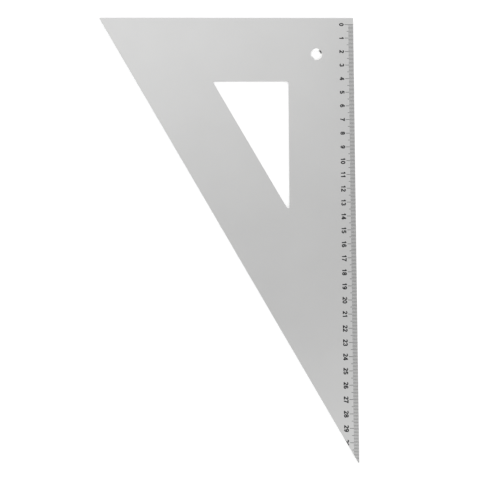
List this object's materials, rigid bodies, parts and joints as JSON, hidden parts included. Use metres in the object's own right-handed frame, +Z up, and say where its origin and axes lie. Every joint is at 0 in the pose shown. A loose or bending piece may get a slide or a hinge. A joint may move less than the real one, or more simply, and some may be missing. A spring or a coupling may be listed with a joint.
{
  "type": "drafting triangle",
  "caption": "Flat 30-60-90 aluminium drafting triangle with a triangular window, a hanging hole and an engraved centimetre scale along its long leg.",
  "frame": {"origin": "under the middle of the plate's bounding box, on the plane of its underside", "axes": "+Y along the ruled long leg towards the right-angled corner, +X across the plate towards the ruled edge, +Z up out of the face that carries the scale"},
  "size_m": [0.1846, 0.3194, 0.002],
  "materials": {
    "anodised_aluminium": "satin anodised",
    "scale_paint": "matt paint"
  },
  "bodies": {
    "root": {"plate": "anodised_aluminium", "centimetre_line_00": "scale_paint", "centimetre_line_01": "scale_paint", "centimetre_line_02": "scale_paint", "centimetre_line_03": "scale_paint", "centimetre_line_04": "scale_paint", "centimetre_line_05": "scale_paint", "centimetre_line_06": "scale_paint", "centimetre_line_07": "scale_paint", "centimetre_line_08": "scale_paint", "centimetre_line_09": "scale_paint", "centimetre_line_10": "scale_paint", "centimetre_line_11": "scale_paint", "centimetre_line_12": "scale_paint", "centimetre_line_13": "scale_paint", "centimetre_line_14": "scale_paint", "centimetre_line_15": "scale_paint", "centimetre_line_16": "scale_paint", "centimetre_line_17": "scale_paint", "centimetre_line_18": "scale_paint", "centimetre_line_19": "scale_paint", "centimetre_line_20": "scale_paint", "centimetre_line_21": "scale_paint", "centimetre_line_22": "scale_paint", "centimetre_line_23": "scale_paint", "centimetre_line_24": "scale_paint", "centimetre_line_25": "scale_paint", "centimetre_line_26": "scale_paint", "centimetre_line_27": "scale_paint", "centimetre_line_28": "scale_paint", "centimetre_line_29": "scale_paint", "centimetre_line_30": "scale_paint", "centimetre_line_31": "scale_paint"}
  },
  "joints": []
}
